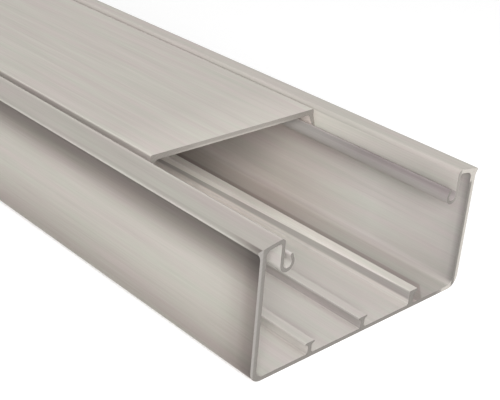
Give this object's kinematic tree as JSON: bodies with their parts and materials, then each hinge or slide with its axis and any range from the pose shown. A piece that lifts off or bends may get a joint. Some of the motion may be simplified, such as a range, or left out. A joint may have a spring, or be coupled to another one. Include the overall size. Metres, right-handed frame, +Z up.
{
  "type": "cord cover raceway",
  "caption": "Long extruded aluminium raceway: open-top channel with hooked rims and floor ribs, and a flat clip-in cover cut back from one end.",
  "frame": {"origin": "middle of the length and of the width, on the underside of the channel's floor", "axes": "+X along the length towards the end where the cover is cut back, +Y across the width towards the side of the taller rail, +Z up from the underside to the cover"},
  "size_m": [1.524, 0.12, 0.056],
  "materials": {
    "base_channel": "satin, brushed along the length",
    "cover": "satin, brushed along the length"
  },
  "bodies": {
    "root": {"base_channel": "base_channel", "cover": "cover"}
  },
  "joints": []
}
